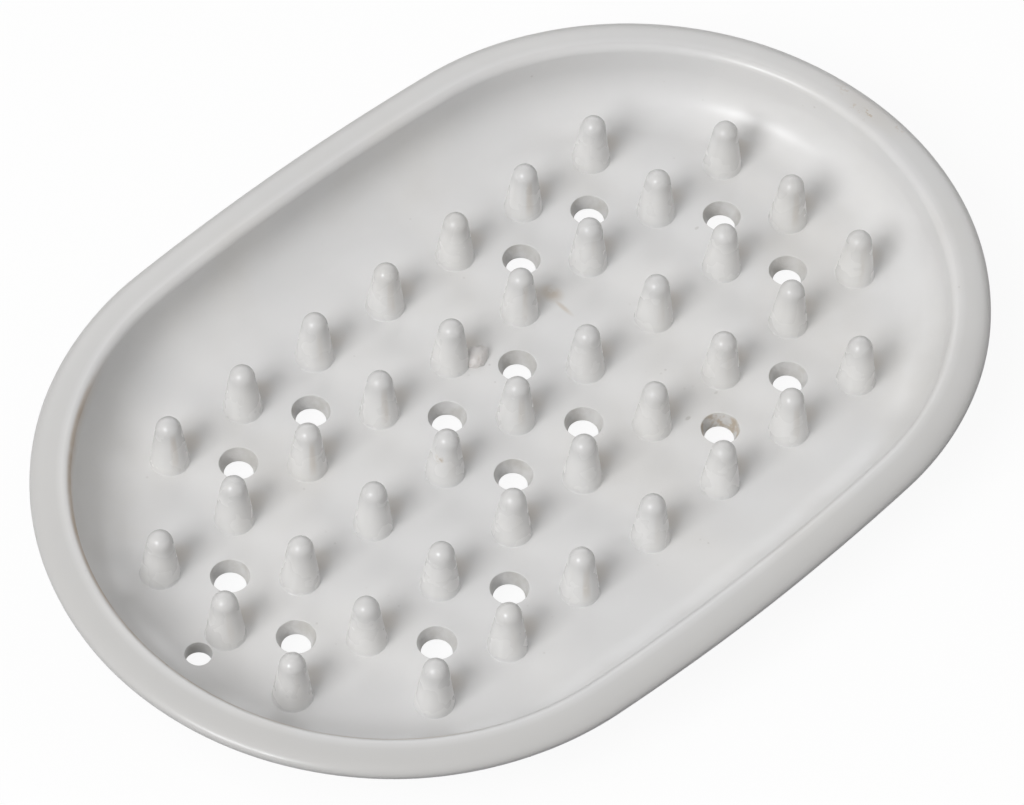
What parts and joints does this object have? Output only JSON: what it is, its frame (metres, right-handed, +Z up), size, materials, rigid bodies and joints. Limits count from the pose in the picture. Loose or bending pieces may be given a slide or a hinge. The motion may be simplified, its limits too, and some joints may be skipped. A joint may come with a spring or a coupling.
{
  "type": "soap dish",
  "caption": "Oval moulded soap dish with a perforated floor, tapered pegs that hold the bar clear of the water, a curved wall, a rolled rim and a small hanging hole.",
  "frame": {"origin": "on the surface that the dish stands on, under the middle of the oval", "axes": "+X along the dish, away from the hanging hole; +Y across it; +Z up"},
  "size_m": [0.13, 0.089, 0.013],
  "materials": {
    "moulding": "satin"
  },
  "bodies": {
    "root": {"floor": "moulding", "wall": "moulding", "rim": "moulding", "pegs": "moulding", "feet": "moulding"}
  },
  "joints": []
}
